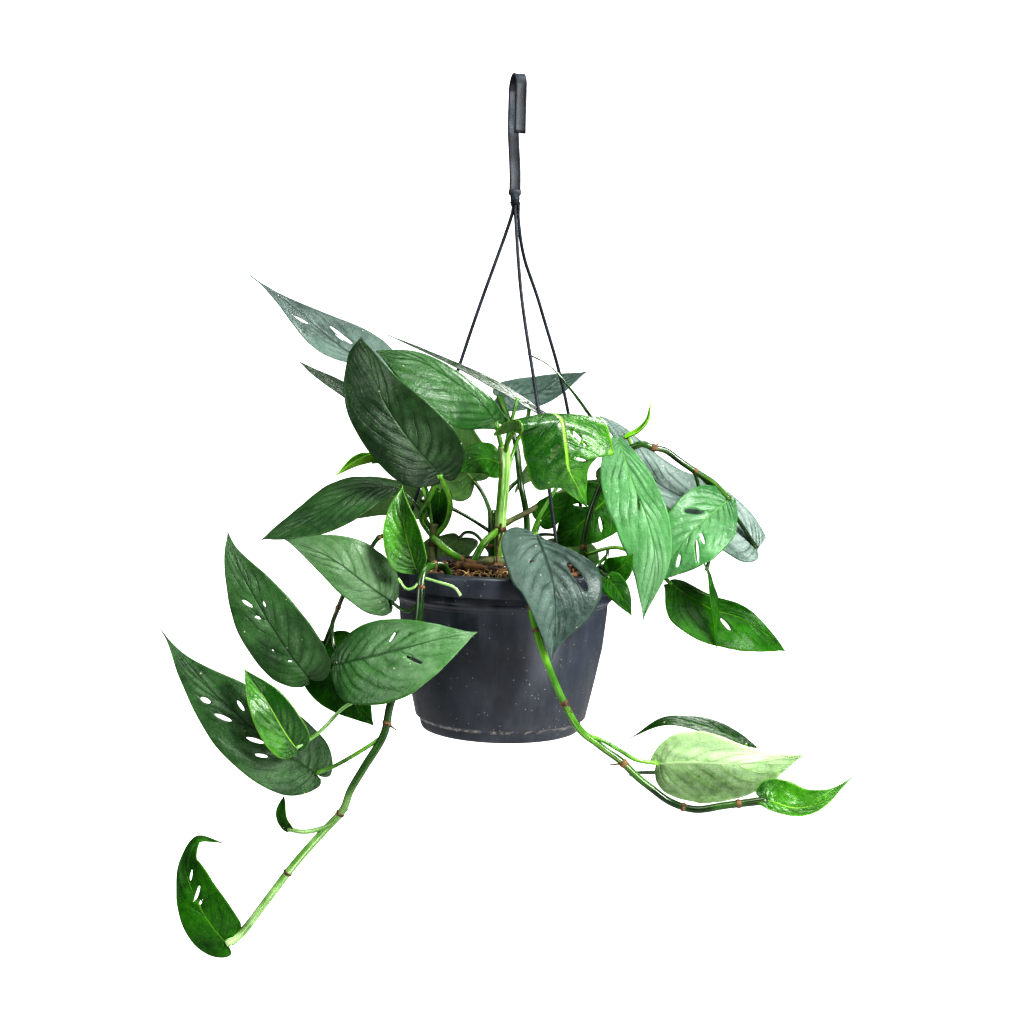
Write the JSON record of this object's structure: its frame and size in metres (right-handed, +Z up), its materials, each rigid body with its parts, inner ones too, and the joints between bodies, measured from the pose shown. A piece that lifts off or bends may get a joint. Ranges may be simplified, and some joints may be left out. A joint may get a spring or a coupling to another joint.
{
  "type": "hanging potted plant",
  "caption": "Trailing vine with slender blue-green leaves, some with slits, in a round tapered nursery pot that hangs on a three-strand hanger with an open hook.",
  "frame": {"origin": "inside of the hook's crown, the point that the part hangs by", "axes": "+Z up, -Y towards the plant's fuller front, +X to that front's right; the pot's axis is the Z axis"},
  "size_m": [0.5201, 0.2681, 0.6886],
  "materials": {
    "pot_plastic": "satin charcoal, dusty and scuffed at the foot",
    "hanger_plastic": "satin black",
    "potting_mix": "matte, moist and crumbly",
    "leaf_deep": "satin blue-grey, waxy",
    "leaf_dark": "satin dark green",
    "leaf_mid": "satin mid green",
    "leaf_pale": "silvery pale green sheen",
    "leaf_young": "glossy yellow-green",
    "stem": "satin green"
  },
  "bodies": {
    "root": {"pot": "pot_plastic", "soil": "potting_mix", "hanger_hook": "hanger_plastic", "hanger_strand_left": "hanger_plastic", "hanger_strand_front": "hanger_plastic", "hanger_strand_right": "hanger_plastic", "vine_left": "stem", "vine_left_thin": "stem", "shoot_left": "stem", "shoot_centre": "stem", "vine_right": "stem", "vine_front": "stem", "shoot_rear": "stem", "leaf_top_left_long": "leaf_deep", "leaf_top_left_narrow": "leaf_deep", "leaf_crown_big": "leaf_deep", "leaf_crown_green": "leaf_mid", "leaf_crown_dark": "leaf_deep", "leaf_back_grey": "leaf_deep", "leaf_back_edge": "leaf_pale", "leaf_young_folded": "leaf_young", "leaf_right_hanging": "leaf_pale", "leaf_right_pale": "leaf_pale", "leaf_right_dark": "leaf_deep", "leaf_right_deep": "leaf_dark", "leaf_right_edge": "leaf_mid", "leaf_front_split": "leaf_deep", "leaf_left_upper": "leaf_dark", "leaf_left_satin": "leaf_dark", "leaf_left_tall": "leaf_dark", "leaf_left_long": "leaf_dark", "leaf_left_young": "leaf_young", "leaf_left_rim": "leaf_mid", "leaf_left_shade": "leaf_dark", "leaf_left_bud": "leaf_dark", "leaf_lowest": "leaf_dark", "leaf_inner_upright": "leaf_young", "leaf_rolled_left": "leaf_young", "leaf_inner_mid": "leaf_mid", "leaf_inner_hanging": "leaf_dark", "leaf_inner_right": "leaf_dark", "leaf_inner_pale": "leaf_mid", "leaf_rim_small": "leaf_mid", "leaf_rim_pointed": "leaf_mid", "leaf_rolled_right": "leaf_young", "leaf_tail_thin": "leaf_dark", "leaf_tail_pale": "leaf_pale", "leaf_tail_end": "leaf_mid", "leaf_rear_left": "leaf_dark", "leaf_rear_crown": "leaf_deep", "leaf_rear_centre": "leaf_mid", "leaf_rear_right": "leaf_deep", "leaf_rear_low_right": "leaf_dark", "leaf_rear_low_left": "leaf_mid", "leaf_rear_vine_upper": "leaf_dark", "leaf_rear_vine_lower": "leaf_mid", "leaf_rear_vine_tip": "leaf_young"}
  },
  "joints": []
}
